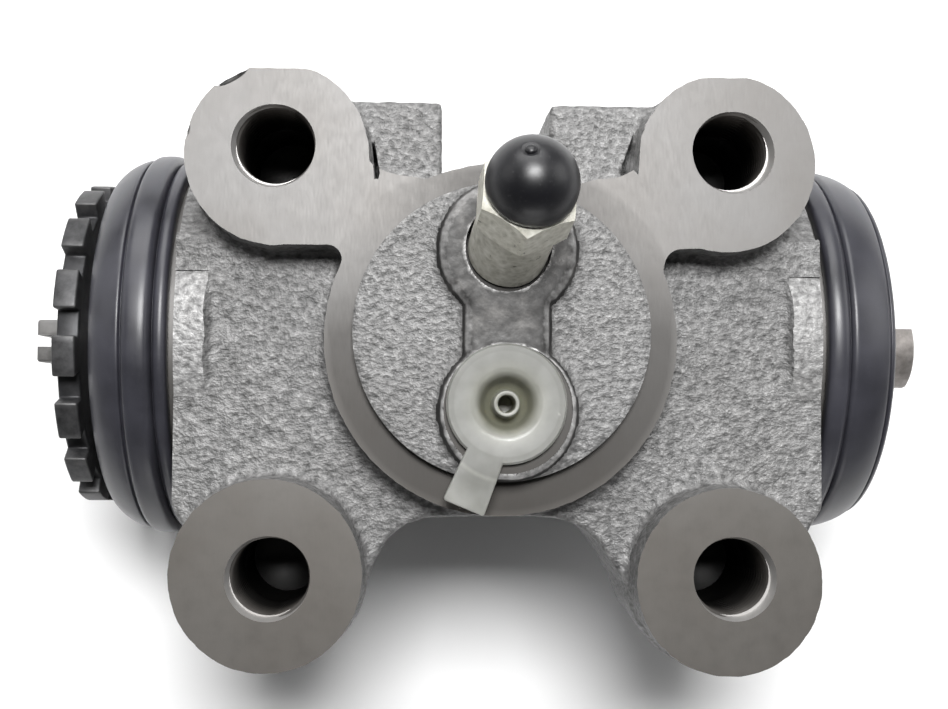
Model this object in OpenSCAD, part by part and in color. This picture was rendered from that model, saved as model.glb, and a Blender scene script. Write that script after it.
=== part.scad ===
// Hydraulic drum brake wheel cylinder with two opposed pistons and a toothed adjuster.
// Origin: centre of the four bolt holes, on the machined mounting face.
// X runs along the bore, Y across it towards the bleeder, Z out of the mounting face.
// All sizes in millimetres.

/* [Mounting face] */
// distance between bolt holes along the bore
bolt_dx = 76; // [75:0.5:77]
// distance between bolt holes across the bore
bolt_dy = 71; // [70:0.5:72]
// radius of the tapped bolt holes
bolt_r = 6.25; // [5.5:0.05:6.5]
// depth of the bolt holes
bolt_depth = 30; // [26:1:32]
// radius of the two bosses on the bleeder side
top_boss_r = 15.1; // [14.6:0.1:15.4]
// radius of the two bosses on the other side
low_boss_r = 15.6; // [15:0.1:16]
// height of the bosses above the cast front
boss_h = 8; // [7:0.5:9]
// outer radius of the machined ring
ring_r = 29.2; // [28.6:0.1:29.6]
// radius of the raised cast disc inside the ring
disc_r = 24.4; // [23.8:0.1:25]
// height of the cast disc above the machined face
disc_h = 2.8; // [2:0.1:3.2]

/* [Barrel] */
// distance of the bore axis behind the mounting face
bore_depth = 41; // [40.5:0.5:41.5]
// height of the bore axis above the middle of the bolt holes
bore_y = 4.5; // [4:0.25:5]
// bore radius
bore_r = 22.225; // [22.2:0.005:22.25]
// outside radius of the cast barrel
barrel_r = 33; // [32.6:0.1:33.4]
// outside radius of the barrel's end collars
collar_r = 34.5; // [34:0.1:34.8]
// half length of the cast barrel
half_len = 55.5; // [55:0.1:56]
// radius of the turned spigots that hold the boots
spigot_r = 32.5; // [32:0.1:32.6]

/* [Bleeder and inlet] */
// tilt of the bleeder across the bore
bleed_tilt = 20; // [18:0.5:22]
// lean of the bleeder along the bore
bleed_lean = 6.4; // [5:0.2:7]
// bleeder spanner size across flats
bleed_af = 14; // [13:0.5:14.5]
// top of the port boss above the mounting face
port_top = 5.2; // [4.8:0.1:5.4]
// wall radius of the inlet port
port_r = 5.45; // [5.42:0.01:5.5]

/* [Adjuster] */
// number of adjuster teeth
teeth = 16; // [12:1:18]
// tip radius of the adjuster teeth
tip_r = 30.5; // [30:0.1:31]
// root radius of the adjuster teeth
root_r = 27.5; // [26.5:0.1:28]
// thickness of the toothed wheel
wheel_t = 4; // [3.4:0.1:4.4]

/* [Spring] */
// turns of the return spring
spring_turns = 5; // [4:1:6]
// wire radius of the return spring
wire_r = 1.1; // [0.8:0.1:1.2]
// mean radius of the return spring
spring_r = 10.5; // [10.4:0.1:11.4]

/* [Hidden] */
$fn = 96;
bore_z = -bore_depth;
bleed_at = [0.35, 18.4, 5.5];
port_at = [0, -7.2, 0];

function arc(cx, cy, r, a0, a1, n) =
  [for (i = [0:n]) [cx + r * cos(a0 + (a1 - a0) * i / n), cy + r * sin(a0 + (a1 - a0) * i / n)]];

// turned shape on the bore axis, points are [radius, distance along +X]
module turned(points) {
  translate([0, bore_y, bore_z]) rotate([0, 90, 0]) rotate_extrude() polygon(points);
}

// plain cylinder on the bore axis
module along(r, x0, x1) {
  translate([x0, bore_y, bore_z]) rotate([0, 90, 0]) cylinder(r = r, h = x1 - x0);
}

// frame whose Z is the bleeder axis
module on_bleeder() {
  translate(bleed_at) rotate([-bleed_tilt, bleed_lean, 0]) children();
}

// outline of the cast front between the bosses
module front_outline() {
  polygon(concat(
    [[-55.2, 22], [-55.2, -23], [-50, -34], [-38, -38], [-22.5, -38], [-21.6, -35.3], [-20.2, -32.4]],
    arc(-12.2, -35.4, 9.1, 160, 90, 8),
    arc(9.6, -35.4, 9.1, 90, 24, 8),
    [[19.2, -34.6], [21, -38], [38, -38], [50, -34], [55.2, -23], [55.2, 22]]));
}

// web that joins one upper boss to the ring
module web_outline() {
  polygon(concat(
    [[-38, 33.5], [-38, 18.7], [-30, 18.9]],
    arc(-29.4, 16.2, 2.7, 90, 0, 6),
    [[-20, 8], [-8, 26], [-14, 30.2], [-19, 30.8], [-24, 33]]));
}

module cylinder_body() color([0.47, 0.46, 0.44]) {
  difference() {
    union() {
      along(barrel_r, -half_len + 1, half_len - 1);
      along(collar_r, -half_len, -half_len + 5.5);
      along(collar_r, half_len - 5.5, half_len);
      along(spigot_r, -62, 62);
      // cast front, its legs and the columns under the bosses
      translate([0, 0, -34]) linear_extrude(height = 34 - boss_h) front_outline();
      for (s = [-1, 1]) {
        translate([s * 38, -35.8, -40]) cylinder(r1 = 15.0, r2 = 16.2, h = 40 - boss_h);
        intersection() {
          translate([s * 37.5, 33.6, -40]) cylinder(r1 = 14.8, r2 = 15.9, h = 40 - boss_h);
          translate([-60, -60, -41]) cube([120, 108.4, 41]);
        }
      }
      // upper lugs either side of the open notch
      translate([-27, 24, -32]) cube([16.2, 20.8, 32 - boss_h - 0.4]);
      translate([8.6, 24, -32]) cube([18.4, 20.3, 32 - boss_h - 0.4]);
      // machined ring, bosses and webs
      translate([-0.5, 3.6, -32]) cylinder(r = ring_r, h = 32);
      for (s = [-1, 1]) {
        translate([s * 38.1, -35.8, -20]) cylinder(r = low_boss_r, h = 20);
        intersection() {
          translate([s * 37.5, 33.6, -20]) cylinder(r = top_boss_r, h = 20);
          translate([-60, -60, -21]) cube([120, 108, 21]);
        }
      }
      translate([0, 0, -26]) linear_extrude(height = 26) web_outline();
      mirror([1, 0, 0]) translate([0, 0, -26]) linear_extrude(height = 26) web_outline();
      // cast disc with the keyhole-shaped port boss
      translate([-0.5, 4.6, -6]) cylinder(r = disc_r, h = 6 + disc_h);
      translate([0.4, -8.4, -6]) cylinder(r = 11.1, h = 6 + port_top);
      translate([0.2, 17.6, -6]) cylinder(r = 11.2, h = 6 + port_top);
      translate([-6.8, -9, -6]) cube([13.8, 27, 6 + port_top]);
      // flat foot on the back
      translate([-30, bore_y - 19, -79.5]) cube([60, 38, 24]);
    }
    along(bore_r, -70, 70);
    // boot grooves on the spigots
    turned([[30.5, 57], [36, 57], [36, 60], [30.5, 60]]);
    mirror([1, 0, 0]) turned([[30.5, 57], [36, 57], [36, 60], [30.5, 60]]);
    // tapped bolt holes with coned bottoms
    for (sx = [-1, 1]) for (sy = [-1, 1])
      translate([sx * bolt_dx / 2, sy * bolt_dy / 2, 0]) {
        translate([0, 0, -bolt_depth]) cylinder(r = bolt_r, h = bolt_depth + 1);
        translate([0, 0, -bolt_depth - 3.2]) cylinder(r1 = 0.6, r2 = bolt_r, h = 3.21);
      }
    // inlet port and its passage into the bore
    translate([port_at[0], port_at[1], -7]) cylinder(r = port_r, h = 20);
    translate([port_at[0], port_at[1], -26]) cylinder(r = 1.5, h = 22);
    // bleeder spotface, tapped hole, seat and passage
    on_bleeder() {
      translate([0, 0, -3]) cylinder(r = 7.7, h = 20);
      translate([0, 0, -17]) cylinder(r = 5, h = 16);
      translate([0, 0, -20]) cylinder(r1 = 1.4, r2 = 5, h = 3.01);
      translate([0, 0, -30]) cylinder(r = 1.5, h = 14);
    }
  }
}

// flare seat at the bottom of the inlet port
module inlet_seat() color([0.72, 0.58, 0.33]) {
  translate([port_at[0], port_at[1], -6.95]) rotate_extrude()
    polygon([[1.5, 0], [5.42, 0], [5.42, 1.8], [4.6, 1.8], [2.2, 3.6], [1.5, 3.6]]);
}

// dust boot on the adjuster side
module left_boot() color([0.08, 0.08, 0.09]) {
  mirror([1, 0, 0]) turned([
    [32.6, 56.7], [34.5, 56.7], [35.2, 57.3], [35.3, 58.3], [34.6, 59.0],
    [35.7, 59.3], [36.3, 60.2], [36.3, 63.0], [35.7, 64.0], [35.1, 64.25],
    [35.4, 64.6], [34.9, 66.0], [33.9, 68.2], [32.6, 69.9], [31.0, 70.6],
    [27.0, 70.2], [23.5, 69.4], [20.8, 69.25], [17.15, 69.25], [17.15, 66.75],
    [20.8, 66.75], [24.0, 67.2], [27.2, 68.2], [30.4, 68.5], [31.6, 67.4],
    [32.7, 65.5], [33.2, 63.6], [32.6, 62.4], [32.6, 59.9], [30.6, 59.9], [30.6, 57.1], [32.6, 57.1]]);
}

// dust boot on the tappet side
module right_boot() color([0.08, 0.08, 0.09]) {
  turned([
    [32.6, 56.7], [34.4, 56.7], [35.2, 57.3], [35.4, 58.6], [35.3, 59.7], [34.5, 60.3],
    [34.9, 60.7], [35.0, 61.6], [34.3, 64.8], [33.4, 67.2], [32.8, 68.1],
    [32.4, 68.2], [32.5, 68.5], [31.9, 69.1], [30.6, 69.4],
    [26.5, 68.9], [23.2, 68.1], [20.8, 67.85], [17.15, 67.85], [17.15, 65.15],
    [20.8, 65.15], [23.8, 65.9], [27.0, 66.9], [30.2, 67.2], [31.3, 66.0],
    [32.2, 64.4], [32.9, 63.2], [32.6, 62.4], [32.6, 59.9], [30.6, 59.9], [30.6, 57.1], [32.6, 57.1]]);
}

// coil spring between the two cup expanders
module return_spring() color([0.6, 0.6, 0.62]) {
  steps = spring_turns * 24;
  sides = 8;
  span = 26;
  pts = [for (i = [0:steps]) for (k = [0:sides - 1])
    let (t = 360 * spring_turns * i / steps,
         x = -span / 2 + wire_r + (span - 2 * wire_r) * i / steps + wire_r * sin(360 * k / sides),
         r = spring_r + wire_r * cos(360 * k / sides))
      [x, bore_y + r * cos(t), bore_z + r * sin(t)]];
  sides_f = [for (i = [0:steps - 1]) for (k = [0:sides - 1])
    let (a = i * sides + k, b = i * sides + (k + 1) % sides)
      [a, b, b + sides, a + sides]];
  ends = [[for (k = [0:sides - 1]) sides - 1 - k], [for (k = [0:sides - 1]) steps * sides + k]];
  polyhedron(points = pts, faces = concat(sides_f, ends), convexity = 10);
}

// hollow piston that carries the adjuster
module left_piston() color([0.66, 0.66, 0.68]) {
  mirror([1, 0, 0]) turned([
    [0, 18.6], [21.4, 18.6], [22.17, 19.4], [22.17, 53.4], [21.4, 54.2], [18.6, 55.6], [18, 56.2],
    [18, 66.4], [16.8, 66.4], [16.8, 69.6], [18, 69.6], [18, 72], [17.4, 72.6],
    [15.06, 72.6], [15.06, 40], [0, 38]]);
}

// U-shaped sealing cup ahead of the left piston
module left_piston_cup() color([0.12, 0.12, 0.12]) {
  mirror([1, 0, 0]) turned([
    [0, 18.5], [21.2, 18.5], [22.0, 17.6], [22.15, 10.6], [20.6, 10.6], [18.6, 14.8], [0, 14.8]]);
}

// dished spring seat that spreads the left cup's lip
module left_cup_expander() color([0.6, 0.6, 0.6]) {
  mirror([1, 0, 0]) turned([
    [0, 14.7], [18.0, 14.7], [19.7, 11.2], [18.7, 10.9], [17.2, 13.2], [8.8, 13.2], [8.8, 6.6], [7.8, 6.2], [0, 6.2]]);
}

// piston on the tappet side
module right_piston() color([0.66, 0.66, 0.68]) {
  turned([
    [0, 18.6], [21.4, 18.6], [22.17, 19.4], [22.17, 53.4], [21.4, 54.2], [18.6, 55.6], [18, 56.2],
    [18, 64.8], [16.8, 64.8], [16.8, 68.2], [18, 68.2], [18, 70.4], [17.4, 71],
    [10.06, 71], [10.06, 44], [0, 41]]);
}

// U-shaped sealing cup ahead of the right piston
module right_piston_cup() color([0.12, 0.12, 0.12]) {
  turned([
    [0, 18.5], [21.2, 18.5], [22.0, 17.6], [22.15, 10.6], [20.6, 10.6], [18.6, 14.8], [0, 14.8]]);
}

// dished spring seat that spreads the right cup's lip
module right_cup_expander() color([0.6, 0.6, 0.6]) {
  turned([
    [0, 14.7], [18.0, 14.7], [19.7, 11.2], [18.7, 10.9], [17.2, 13.2], [8.8, 13.2], [8.8, 6.6], [7.8, 6.2], [0, 6.2]]);
}

// toothed wheel with the tapped sleeve that turns in the left piston
module adjuster_wheel() color([0.16, 0.16, 0.16]) {
  difference() {
    mirror([1, 0, 0]) turned([
      [10.05, 42], [14.4, 42], [15, 42.6], [15, 60], [13.2, 60], [13.2, 62.4], [15, 62.4], [15, 72.95],
      [29.9, 72.95], [tip_r, 73.5], [tip_r, 72.95 + wheel_t - 0.9], [29.5, 72.95 + wheel_t],
      [12.6, 72.95 + wheel_t], [12.2, 72.95 + wheel_t - 0.8], [10.05, 72.95 + wheel_t - 0.8]]);
    for (i = [0:teeth - 1])
      translate([0, bore_y, bore_z]) rotate([360 * (i + 0.5) / teeth + 7.3, 0, 0])
        translate([-90, -2.35, root_r]) cube([30, 4.7, 8]);
  }
}

// friction ring in the sleeve's groove
module adjuster_seal_ring() color([0.1, 0.1, 0.1]) {
  mirror([1, 0, 0]) translate([61.2, bore_y, bore_z]) rotate([0, 90, 0])
    rotate_extrude() translate([14.12, 0]) circle(r = 0.84, $fn = 32);
}

// screw that the wheel drives out, with a slotted tongue for the brake shoe
module adjuster_screw() color([0.42, 0.41, 0.39]) {
  difference() {
    union() {
      mirror([1, 0, 0]) turned([[0, 44], [9.2, 44], [10, 44.8], [10, 78.2], [9.2, 79], [0, 79]]);
      translate([-86, bore_y - 4, bore_z - 8.4]) cube([8, 8, 16.8]);
    }
    translate([-90, bore_y - 1.1, bore_z - 15]) cube([9.2, 2.2, 30]);
  }
}

// forked push rod that turns freely in the right piston
module right_tappet() color([0.45, 0.42, 0.39]) {
  difference() {
    turned([[0, 44.4], [9.2, 44.4], [10, 45.2], [10, 73], [9.2, 73.8], [8.4, 74], [8.4, 81.7], [7.8, 82.3], [0, 82.3]]);
    translate([76.4, bore_y - 20, bore_z - 3.5]) cube([12, 40, 7]);
    // flat milled along one side of the fork
    translate([74.6, bore_y + 3.8, bore_z - 10]) cube([12, 10, 20]);
  }
}

// bleed screw with a round shank, hexagon and hose nipple
module bleeder_screw() color([0.78, 0.75, 0.62]) {
  on_bleeder() difference() {
    union() {
      rotate_extrude() polygon([[0, -17.2], [2.0, -17.2], [4.94, -15.4], [4.94, -2.65], [6.5, -2.65], [6.5, 11.4], [0, 11.4]]);
      intersection() {
        translate([0, 0, 11]) cylinder(r = bleed_af / 2 / cos(30), h = 7, $fn = 6);
        rotate_extrude() polygon([[0, 11], [7.4, 11], [8.4, 11.6], [8.4, 17.2], [7.0, 18], [0, 18]]);
      }
      rotate_extrude() polygon([[0, 17.5], [3.2, 17.5], [3.2, 22.6], [2.6, 23.6], [0, 23.6]]);
    }
    translate([0, 0, -10]) cylinder(r = 1.2, h = 40);
    translate([0, 0, -10]) rotate([90, 0, 0]) translate([0, 0, -8]) cylinder(r = 1.2, h = 16);
  }
}

// rubber dust cap over the hose nipple
module bleeder_cap() color([0.05, 0.05, 0.05]) {
  on_bleeder() rotate_extrude() polygon(concat(
    [[3.27, 18.15], [6.6, 18.15], [7.0, 18.5]],
    arc(0, 19.6, 7.05, 0, 82, 14),
    [[0.9, 26.75], [0.6, 27.1], [0, 27.2], [0, 24], [3.27, 24]]));
}

// push-in transit plug with a pull tab
module inlet_plug() color([0.82, 0.83, 0.76, 0.6]) {
  translate([port_at[0], port_at[1], 0]) difference() {
    union() {
      cylinder(r = 5.38, h = 6);
      translate([0, 0, -2.6]) cylinder(r = 5.38, h = 3);
      translate([0, 0, port_top + 0.1]) cylinder(r = 9.7, h = 1.5);
      rotate([0, 0, -112]) translate([7, -3.3, port_top + 0.1]) cube([10.9, 6.6, 1.5]);
    }
    difference() {
      translate([0, 0, -1.4]) cylinder(r = 4.4, h = 12);
      translate([0, 0, -2]) cylinder(r = 2.65, h = 8.4);
    }
    translate([0, 0, -1.4]) cylinder(r = 1.75, h = 12);
  }
}

cylinder_body();
inlet_seat();
left_boot();
right_boot();
return_spring();
left_piston();
left_piston_cup();
left_cup_expander();
right_piston();
right_piston_cup();
right_cup_expander();
adjuster_wheel();
adjuster_seal_ring();
adjuster_screw();
right_tappet();
bleeder_screw();
bleeder_cap();
inlet_plug();
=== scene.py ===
import math

import bmesh
import bpy
import numpy as np
from mathutils import Matrix, Vector, noise


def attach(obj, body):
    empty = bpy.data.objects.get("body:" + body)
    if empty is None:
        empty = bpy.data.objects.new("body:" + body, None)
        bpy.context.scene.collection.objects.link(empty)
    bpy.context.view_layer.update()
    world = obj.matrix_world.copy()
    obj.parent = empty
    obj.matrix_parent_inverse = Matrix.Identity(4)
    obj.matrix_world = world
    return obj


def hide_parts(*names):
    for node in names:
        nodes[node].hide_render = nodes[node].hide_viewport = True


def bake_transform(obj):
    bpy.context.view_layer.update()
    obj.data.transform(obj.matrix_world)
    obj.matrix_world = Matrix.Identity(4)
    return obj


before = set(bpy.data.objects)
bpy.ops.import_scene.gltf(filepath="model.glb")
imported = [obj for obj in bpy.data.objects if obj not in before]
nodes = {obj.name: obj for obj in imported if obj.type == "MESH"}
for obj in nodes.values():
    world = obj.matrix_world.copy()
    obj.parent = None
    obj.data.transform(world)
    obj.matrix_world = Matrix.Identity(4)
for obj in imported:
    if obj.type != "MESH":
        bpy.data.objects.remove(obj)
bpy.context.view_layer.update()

scene = bpy.context.scene

# ---------------------------------------------------------------- sizes, mm
BY, BZ = 4.5, -41.0                      # bore axis
TILT, LEAN = math.radians(20), math.radians(6.4)
BLEED_AT = Vector((0.35, 18.4, 5.5))
BLEED_M = Matrix.Translation(BLEED_AT) @ Matrix.Rotation(LEAN, 4, "Y") @ Matrix.Rotation(-TILT, 4, "X")
FLOOR_Z = -79.5
BORE_M = Matrix.Translation((0, BY, BZ)) @ Matrix.Rotation(math.radians(90), 4, "Y")


# ---------------------------------------------------------------- node helpers
def material(name):
    m = bpy.data.materials.new(name)
    m.use_nodes = True
    nt = m.node_tree
    bsdf = next(n for n in nt.nodes if n.type == "BSDF_PRINCIPLED")
    return m, nt, bsdf


def node(nt, kind, **props):
    n = nt.nodes.new(kind)
    for k, v in props.items():
        setattr(n, k, v)
    return n


def sock(n, name, out=False):
    for s in (n.outputs if out else n.inputs):
        if s.name == name or s.identifier == name:
            return s
    raise KeyError(name)


def coords(nt, scale=1000.0):
    """Object coordinates in mm."""
    tc = node(nt, "ShaderNodeTexCoord")
    mp = node(nt, "ShaderNodeMapping")
    mp.inputs["Scale"].default_value = (scale, scale, scale)
    nt.links.new(tc.outputs["Object"], mp.inputs["Vector"])
    return mp.outputs["Vector"]


def noise_tex(nt, vec, size, detail=3.0, rough=0.55, distort=0.0):
    n = node(nt, "ShaderNodeTexNoise")
    n.inputs["Scale"].default_value = 1.0 / size
    n.inputs["Detail"].default_value = detail
    n.inputs["Roughness"].default_value = rough
    n.inputs["Distortion"].default_value = distort
    nt.links.new(vec, n.inputs["Vector"])
    return n.outputs["Fac"]


def ramp(nt, fac, stops, interp="LINEAR"):
    r = node(nt, "ShaderNodeValToRGB")
    r.color_ramp.interpolation = interp
    el = r.color_ramp.elements
    while len(el) < len(stops):
        el.new(0.5)
    for e, (p, c) in zip(el, stops):
        e.position = p
        e.color = (c[0], c[1], c[2], 1) if isinstance(c, (tuple, list)) else (c, c, c, 1)
    nt.links.new(fac, r.inputs["Fac"])
    return r.outputs["Color"]


def mix(nt, a, b, fac, blend="MIX"):
    m = node(nt, "ShaderNodeMix", data_type="RGBA", blend_type=blend)
    ins = [s for s in m.inputs if s.type == "RGBA"]
    for s, v in zip(ins, (a, b)):
        if isinstance(v, (tuple, list)):
            s.default_value = (v[0], v[1], v[2], 1)
        else:
            nt.links.new(v, s)
    f = [s for s in m.inputs if s.type == "VALUE"][0]
    if isinstance(fac, (int, float)):
        f.default_value = fac
    else:
        nt.links.new(fac, f)
    return next(s for s in m.outputs if s.type == "RGBA")


def maths(nt, op, a, b=0.0):
    m = node(nt, "ShaderNodeMath", operation=op)
    for s, v in zip(m.inputs, (a, b)):
        if isinstance(v, (int, float)):
            s.default_value = v
        else:
            nt.links.new(v, s)
    return m.outputs[0]


def bump(nt, bsdf, height, strength, distance_mm, chain=None):
    b = node(nt, "ShaderNodeBump")
    b.inputs["Strength"].default_value = strength
    b.inputs["Distance"].default_value = distance_mm * 0.001
    nt.links.new(height, b.inputs["Height"])
    if chain is not None:
        nt.links.new(chain, b.inputs["Normal"])
    nt.links.new(b.outputs["Normal"], bsdf.inputs["Normal"])
    return b.outputs["Normal"]


def edge_wear_and_highlight(nt):
    """Convex-edge mask from the mesh's own pointiness: worn edges on the steel parts, a painted highlight on the rims
    of the port boss.
    """
    g = node(nt, "ShaderNodeNewGeometry")
    return g.outputs["Pointiness"]


# ---------------------------------------------------------------- materials
def mat_cast(name="cast_iron_sand", k=1.0, relief=0.5):
    m, nt, p = material(name)
    v = coords(nt)
    mp = node(nt, "ShaderNodeMapping")
    mp.inputs["Scale"].default_value = (0.78, 1.0, 1.0)
    nt.links.new(v, mp.inputs["Vector"])
    grain = noise_tex(nt, mp.outputs["Vector"], 0.95, 3, 0.55)
    fine = noise_tex(nt, v, 0.4, 2, 0.5)
    broad = noise_tex(nt, v, 14, 3, 0.5)
    stops = [(0.28, 0.075), (0.42, 0.135), (0.50, 0.172), (0.58, 0.21), (0.74, 0.30)]
    base = ramp(nt, grain, [(f, (c * k, c * k * 0.993, c * k * 0.985)) for f, c in stops])
    tint = ramp(nt, broad, [(0.35, (0.88, 0.876, 0.872)), (0.65, (1.0, 1.0, 1.0))])
    col = mix(nt, base, tint, 1.0, "MULTIPLY")
    nt.links.new(col, p.inputs["Base Color"])
    p.inputs["Metallic"].default_value = 0.3
    rgh = ramp(nt, fine, [(0.3, 0.42), (0.7, 0.62)])
    nt.links.new(rgh, p.inputs["Roughness"])
    both = maths(nt, "ADD", grain, maths(nt, "MULTIPLY", fine, 0.2))
    bump(nt, p, both, 1.0, relief)
    return m


def mat_skin():
    """Smoother cast skin of the port boss."""
    m, nt, p = material("cast_iron_smooth")
    v = coords(nt)
    grain = noise_tex(nt, v, 1.3, 4, 0.6)
    broad = noise_tex(nt, v, 4.5, 4, 0.6)
    base = ramp(nt, broad, [(0.32, (0.014, 0.0135, 0.013)), (0.5, (0.035, 0.034, 0.033)), (0.68, (0.085, 0.082, 0.079))])
    # painted highlight: the rounded rims of the port boss lightened as if they catch the light
    edge = ramp(nt, maths(nt, "ADD", edge_wear_and_highlight(nt), maths(nt, "MULTIPLY", maths(nt, "SUBTRACT", grain, 0.5), 0.04)), [(0.512, 0.0), (0.56, 1.0)])
    base = mix(nt, base, (0.42, 0.415, 0.41), edge)
    nt.links.new(mix(nt, base, ramp(nt, grain, [(0.3, (0.86, 0.86, 0.86)), (0.7, (1.1, 1.1, 1.1))]), 1.0, "MULTIPLY"), p.inputs["Base Color"])
    p.inputs["Metallic"].default_value = 0.45
    nt.links.new(ramp(nt, grain, [(0.3, 0.40), (0.7, 0.55)]), p.inputs["Roughness"])
    bump(nt, p, grain, 0.5, 0.10)
    return m


def mat_machined(name="machined_iron", base=(0.165, 0.161, 0.157), rough=0.54, ring=None, painted_hole_shade=False):
    m, nt, p = material(name)
    v = coords(nt)
    # fine milling lines, long in x and y
    mp = node(nt, "ShaderNodeMapping")
    mp.inputs["Rotation"].default_value = (0, 0, 0.5)
    mp.inputs["Scale"].default_value = (1.0, 0.12, 1.0)
    nt.links.new(v, mp.inputs["Vector"])
    lines = noise_tex(nt, mp.outputs["Vector"], 0.28, 2, 0.6)
    mottle = noise_tex(nt, v, 2.6, 4, 0.6)
    broad = noise_tex(nt, v, 18, 3, 0.5)
    c0 = tuple(x * 0.93 for x in base)
    c1 = tuple(min(1, x * 1.06) for x in base)
    col = ramp(nt, mottle, [(0.3, c0), (0.5, base), (0.75, c1)])
    stain = ramp(nt, broad, [(0.32, (0.90, 0.885, 0.87)), (0.62, (1, 1, 1))])
    col = mix(nt, col, stain, 1.0, "MULTIPLY")
    if ring is not None:
        # painted shade: the ring is darker than the bosses, except where the upper webs run into it
        def near(x, y, r0, r1):
            d = node(nt, "ShaderNodeVectorMath", operation="DISTANCE")
            nt.links.new(v, d.inputs[0])
            d.inputs[1].default_value = (x, y, 0)
            return maths(nt, "DIVIDE", maths(nt, "SUBTRACT", d.outputs["Value"], r0), r1 - r0)
        out = near(ring[0], ring[1], ring[2], ring[2] + 3.0)
        web = maths(nt, "MINIMUM", near(-37.8, 33.9, 17.0, 32.0), near(37.2, 33.4, 15.0, 30.0))
        f = maths(nt, "MAXIMUM", out, maths(nt, "SUBTRACT", 1.0, web))
        col = mix(nt, col, ramp(nt, f, [(0.0, (0.44, 0.435, 0.43)), (1.0, (1, 1, 1))]), 1.0, "MULTIPLY")
        # painted shade: a little darker and warmer towards the lower bosses
        y = node(nt, "ShaderNodeSeparateXYZ")
        nt.links.new(v, y.inputs[0])
        f = maths(nt, "DIVIDE", maths(nt, "ADD", y.outputs["Y"], 30.0), 40.0)
        col = mix(nt, col, ramp(nt, f, [(0.0, (0.66, 0.635, 0.60)), (1.0, (1, 1, 1))]), 1.0, "MULTIPLY")
    if painted_hole_shade:
        # painted shade: darker towards the bottom of the hole
        z = node(nt, "ShaderNodeSeparateXYZ")
        nt.links.new(v, z.inputs[0])
        f = maths(nt, "DIVIDE", z.outputs["Z"], -20.0)
        col = mix(nt, col, ramp(nt, f, [(0.0, (1, 1, 1)), (0.22, (0.55, 0.54, 0.53)), (0.55, (0.10, 0.10, 0.10)), (0.85, (0.03, 0.03, 0.03))]), 1.0, "MULTIPLY")
    nt.links.new(col, p.inputs["Base Color"])
    p.inputs["Metallic"].default_value = 0.65
    r = maths(nt, "ADD", maths(nt, "MULTIPLY", mottle, 0.16), maths(nt, "MULTIPLY", lines, 0.12))
    nt.links.new(maths(nt, "ADD", r, rough - 0.14), p.inputs["Roughness"])
    bump(nt, p, maths(nt, "ADD", lines, maths(nt, "MULTIPLY", mottle, 0.6)), 0.28, 0.02)
    return m


def mat_rubber(name, base, rough, speck=0.5, bumpy=0.25, scale=0.35):
    m, nt, p = material(name)
    v = coords(nt)
    broad = noise_tex(nt, v, 9, 3, 0.55)
    fine = noise_tex(nt, v, scale, 3, 0.6)
    col = ramp(nt, broad, [(0.3, tuple(x * 0.75 for x in base)), (0.7, tuple(x * 1.35 for x in base))])
    dust = ramp(nt, fine, [(0.62, (0, 0, 0)), (0.82, (speck * 0.05,) * 3)])
    nt.links.new(mix(nt, col, dust, 1.0, "ADD"), p.inputs["Base Color"])
    rr = maths(nt, "ADD", maths(nt, "MULTIPLY", broad, 0.22), maths(nt, "MULTIPLY", fine, 0.08))
    nt.links.new(maths(nt, "ADD", rr, rough - 0.15), p.inputs["Roughness"])
    p.inputs["Specular IOR Level"].default_value = 0.55
    bump(nt, p, fine, bumpy, 0.02)
    return m


def mat_steel(name, base, rough, metallic=0.9, wear=0.5, worn=(0.45, 0.44, 0.43), streak=True):
    m, nt, p = material(name)
    v = coords(nt)
    mottle = noise_tex(nt, v, 1.6, 4, 0.6)
    fine = noise_tex(nt, v, 0.3, 3, 0.6)
    col = ramp(nt, mottle, [(0.3, tuple(x * 0.75 for x in base)), (0.7, tuple(min(1, x * 1.25) for x in base))])
    edge = ramp(nt, maths(nt, "ADD", edge_wear_and_highlight(nt), maths(nt, "MULTIPLY", maths(nt, "SUBTRACT", mottle, 0.5), 0.06)), [(0.515, 0.0), (0.57, 1.0)])
    col = mix(nt, col, worn, maths(nt, "MULTIPLY", edge, wear))
    nt.links.new(col, p.inputs["Base Color"])
    p.inputs["Metallic"].default_value = metallic
    r = maths(nt, "ADD", maths(nt, "MULTIPLY", fine, 0.18), maths(nt, "MULTIPLY", mottle, 0.14))
    nt.links.new(maths(nt, "ADD", r, rough - 0.16), p.inputs["Roughness"])
    bump(nt, p, maths(nt, "ADD", fine, mottle), 0.3, 0.02)
    return m


def mat_zinc():
    m, nt, p = material("zinc_yellow")
    v = coords(nt)
    mott = noise_tex(nt, v, 1.3, 5, 0.65, 0.4)
    cells = node(nt, "ShaderNodeTexVoronoi")
    cells.inputs["Scale"].default_value = 1 / 1.1
    nt.links.new(v, cells.inputs["Vector"])
    f = maths(nt, "ADD", maths(nt, "MULTIPLY", mott, 0.75), maths(nt, "MULTIPLY", cells.outputs["Distance"], 0.3))
    col = ramp(nt, f, [(0.3, (0.52, 0.51, 0.43)), (0.5, (0.70, 0.685, 0.60)), (0.72, (0.88, 0.865, 0.79))])
    nt.links.new(col, p.inputs["Base Color"])
    p.inputs["Metallic"].default_value = 0.4
    nt.links.new(ramp(nt, mott, [(0.3, 0.26), (0.7, 0.48)]), p.inputs["Roughness"])
    bump(nt, p, f, 0.3, 0.04)
    return m


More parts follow.
